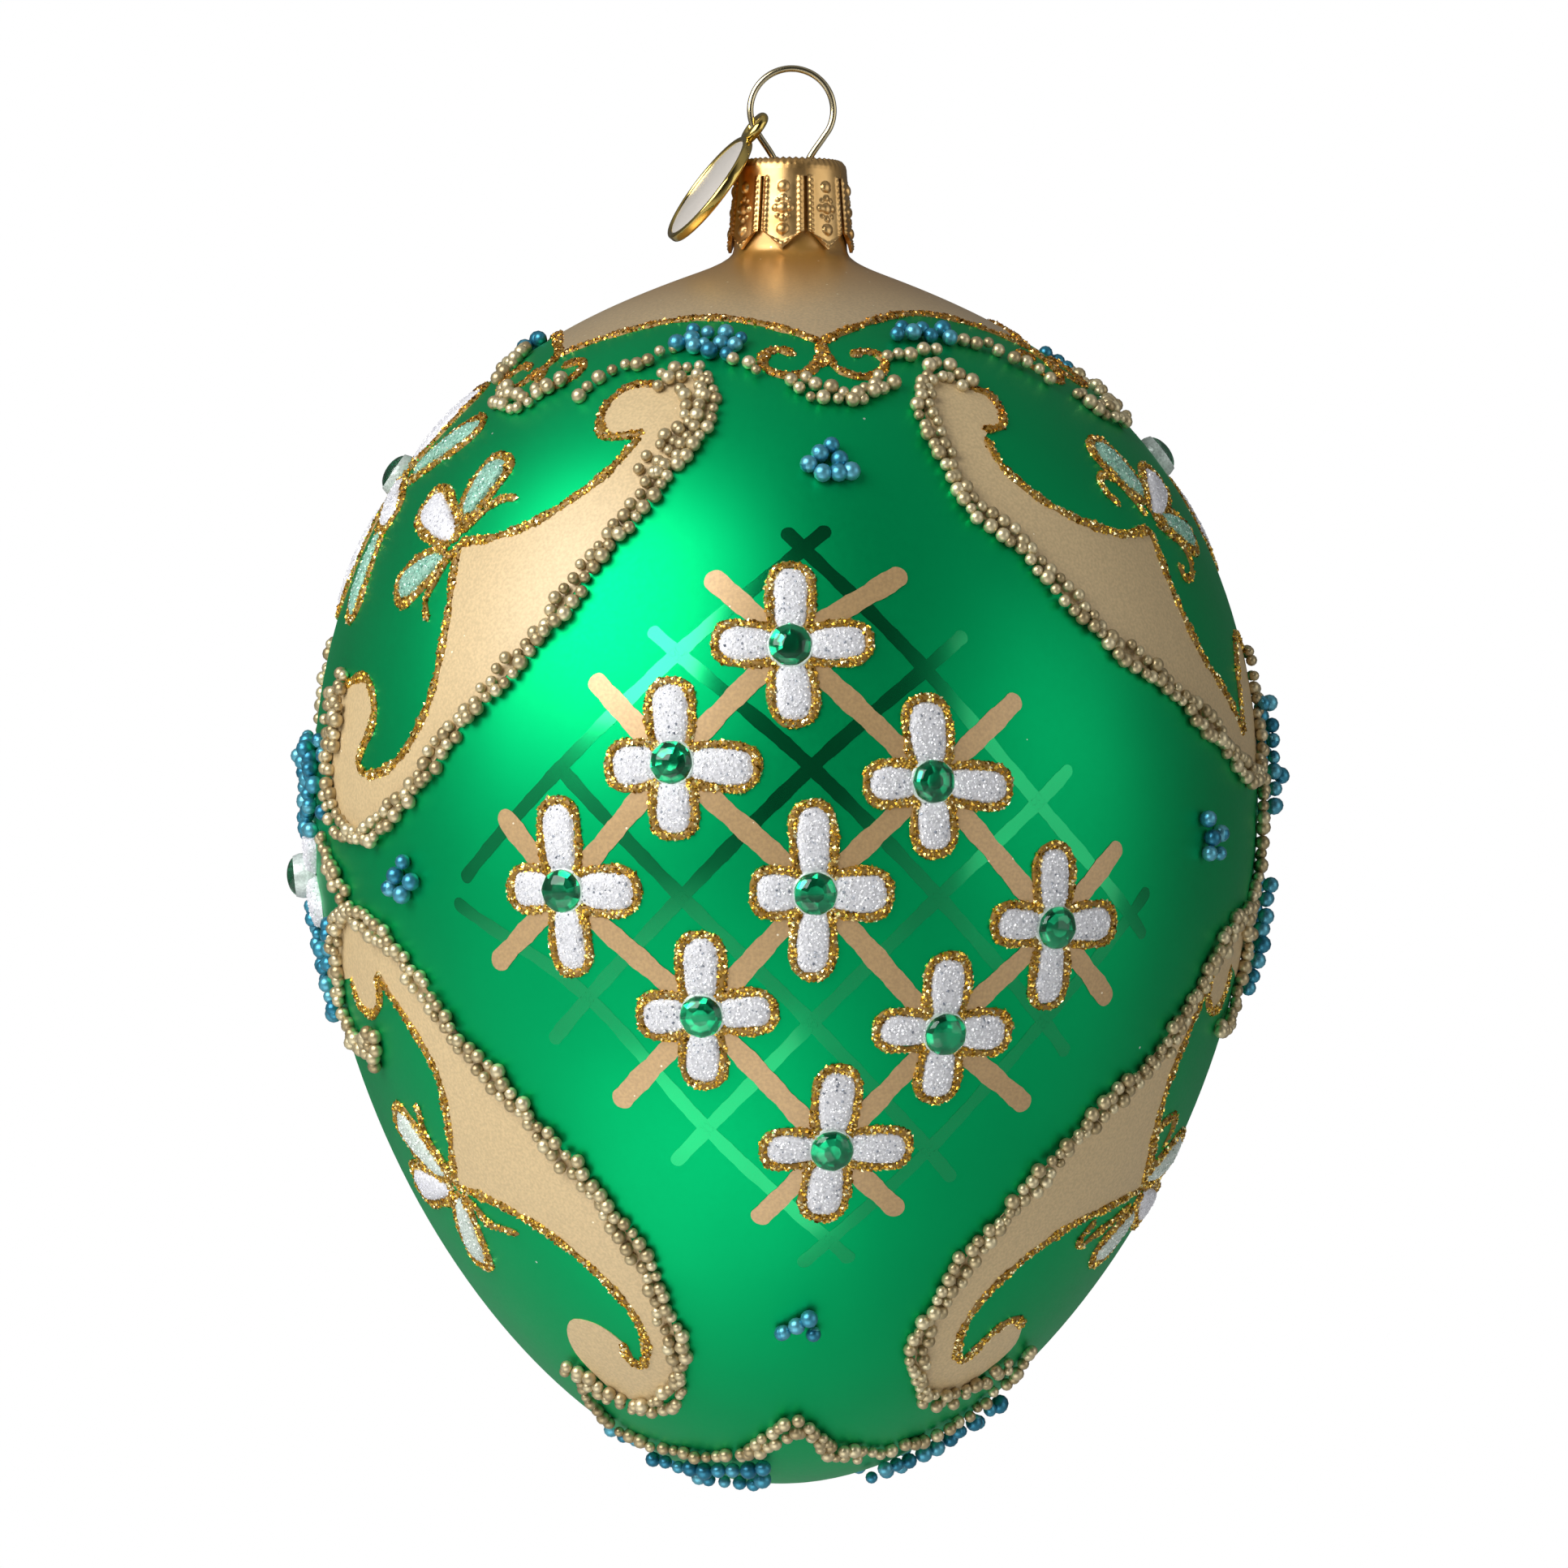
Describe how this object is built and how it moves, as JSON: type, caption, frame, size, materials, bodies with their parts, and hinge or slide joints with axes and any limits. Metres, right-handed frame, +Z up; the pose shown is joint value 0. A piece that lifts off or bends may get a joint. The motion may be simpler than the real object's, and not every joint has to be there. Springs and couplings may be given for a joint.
{
  "type": "hanging glass egg ornament",
  "caption": "Hollow blown-glass egg with a gold crown cap and wire loop to hang by, an enamelled tag on the wire, and round green stones set on the glass.",
  "frame": {"origin": "inside top of the wire loop, where the egg hangs", "axes": "+Z up along the egg's axis, front panel towards -Y, +X to the right seen from the front"},
  "size_m": [0.0943, 0.0926, 0.1353],
  "materials": {
    "green_lacquer": "satin metallic green lacquer over blown glass, opaque",
    "cap_gold": "bright stamped gold-coloured sheet",
    "wire_gold": "drawn pale gold wire",
    "tag_gold": "polished gold plating",
    "tag_enamel": "glossy off-white enamel",
    "green_stone": "green foil-backed stone in clear glue",
    "gold_paint": "satin gold paint on the glass",
    "gloss_lacquer": "clear gloss varnish over the green",
    "gold_glitter": "gold glitter in glue",
    "pale_glitter": "white and mint glitter in glue",
    "gold_bead": "small champagne-gold beads",
    "blue_bead": "small metallic blue beads"
  },
  "bodies": {
    "root": {"glass_egg": "green_lacquer", "crown_cap": "cap_gold", "wire_loop": "wire_gold", "tag_frame": "tag_gold", "tag_enamel": "tag_enamel", "front_stone_1": "green_stone", "front_stone_2": "green_stone", "front_stone_3": "green_stone", "front_stone_4": "green_stone", "front_stone_5": "green_stone", "front_stone_6": "green_stone", "front_stone_7": "green_stone", "front_stone_8": "green_stone", "front_stone_9": "green_stone", "back_stone_1": "green_stone", "back_stone_2": "green_stone", "back_stone_3": "green_stone", "back_stone_4": "green_stone", "back_stone_5": "green_stone", "back_stone_6": "green_stone", "back_stone_7": "green_stone", "back_stone_8": "green_stone", "back_stone_9": "green_stone", "left_upper_stone": "green_stone", "left_waist_stone": "green_stone", "right_upper_stone": "green_stone", "right_waist_stone": "green_stone"}
  },
  "joints": []
}
